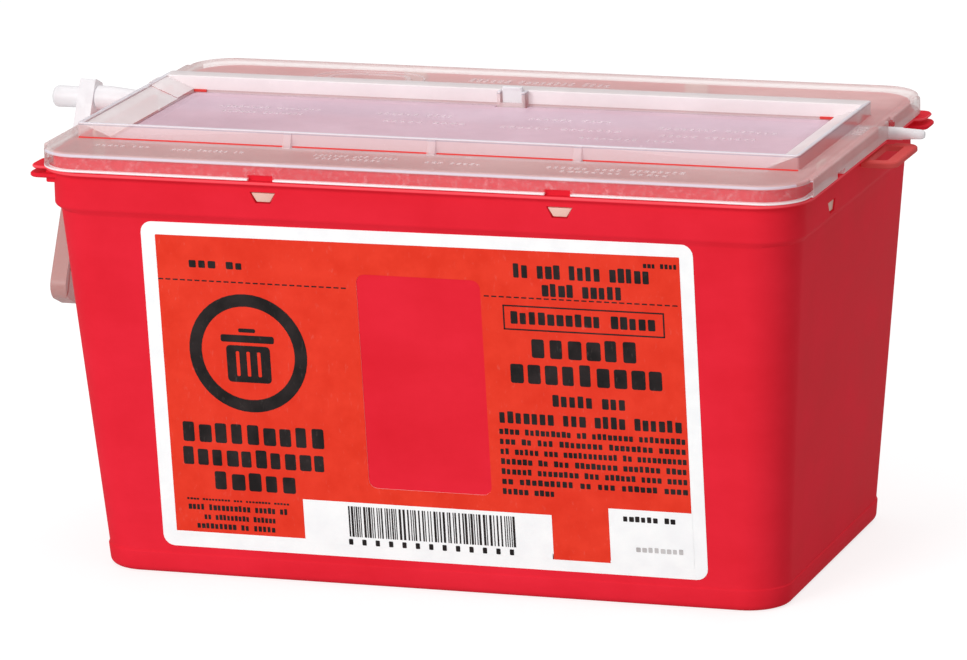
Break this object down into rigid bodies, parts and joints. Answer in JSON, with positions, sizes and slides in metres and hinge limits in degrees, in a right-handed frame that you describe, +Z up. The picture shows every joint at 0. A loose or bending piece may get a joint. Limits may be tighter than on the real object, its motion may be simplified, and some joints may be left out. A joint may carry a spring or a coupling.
{
  "type": "sharps container",
  "caption": "Tapered red tub with a translucent clip-on lid, and a long drop tray under a raised frame that a side lever tips to let sharps fall in.",
  "frame": {"origin": "centre of the tub's flat underside, on the surface it stands on", "axes": "+Z up, +X to the right along the container's length, the labelled front faces -Y"},
  "size_m": [0.3162, 0.1664, 0.155],
  "materials": {
    "red_polypropylene": "satin moulded",
    "natural_polypropylene": "translucent moulded",
    "label_paper": "printed and gloss varnished"
  },
  "bodies": {
    "tub": {"container_tub": "red_polypropylene", "front_label": "label_paper"},
    "lid": {"lid": "natural_polypropylene"},
    "tray": {"drop_tray": "natural_polypropylene", "pivot_rod": "natural_polypropylene", "lever_handle": "natural_polypropylene"},
    "lock": {"lock_tab": "natural_polypropylene"}
  },
  "joints": [
    {"name": "lid_lift", "type": "slide", "parent": "tub", "child": "lid", "axis": [0, 0, 1], "range_m": [0, 0.18]},
    {"name": "tray_hinge", "type": "hinge", "parent": "lid", "child": "tray", "pos_m": [0, 0.029, 0.1434], "axis": [1, 0, 0], "range_deg": [0, 75]},
    {"name": "lock_push", "type": "slide", "parent": "lid", "child": "lock", "axis": [0, 0, -1], "range_m": [0, 0.004]}
  ]
}
